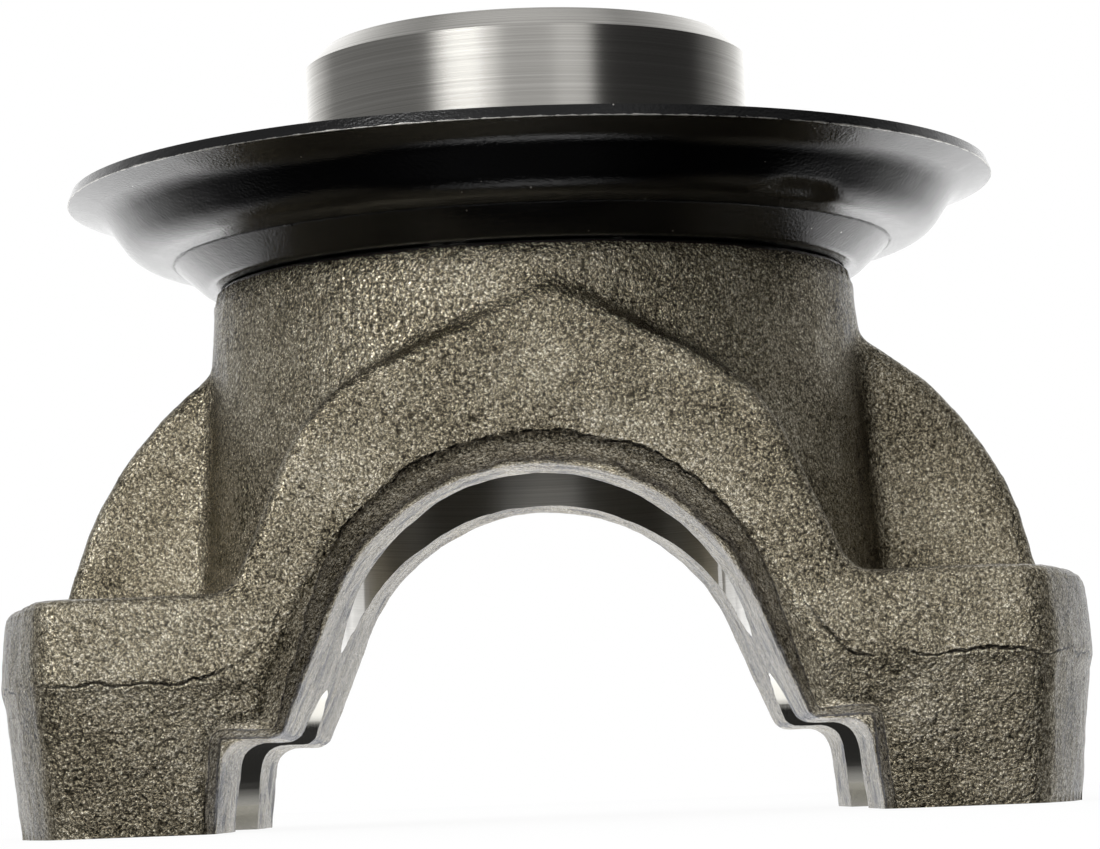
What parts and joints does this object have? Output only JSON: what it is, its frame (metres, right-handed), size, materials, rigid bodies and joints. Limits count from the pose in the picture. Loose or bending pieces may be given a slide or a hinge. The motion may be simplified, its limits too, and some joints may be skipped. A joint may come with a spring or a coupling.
{
  "type": "pinion end yoke",
  "caption": "Forged driveline end yoke: an arch between two ears with bearing-cup saddles, a splined hub with a seal journal, and a stamped dust slinger.",
  "frame": {"origin": "on the hub's axis in the plane of the ears' machined end faces, which is also the bottom centre of the bounding box", "axes": "+Z along the hub's axis towards the seal journal, +X along the axis of the two bearing-cup saddles"},
  "size_m": [0.1218, 0.1054, 0.0883],
  "materials": {
    "forged_steel": "shot-blasted forging with turned journal, pocket and saddles",
    "coated_sheet": "gloss black coating, bare cut edge"
  },
  "bodies": {
    "root": {"yoke_forging": "forged_steel", "dust_slinger": "coated_sheet"}
  },
  "joints": []
}
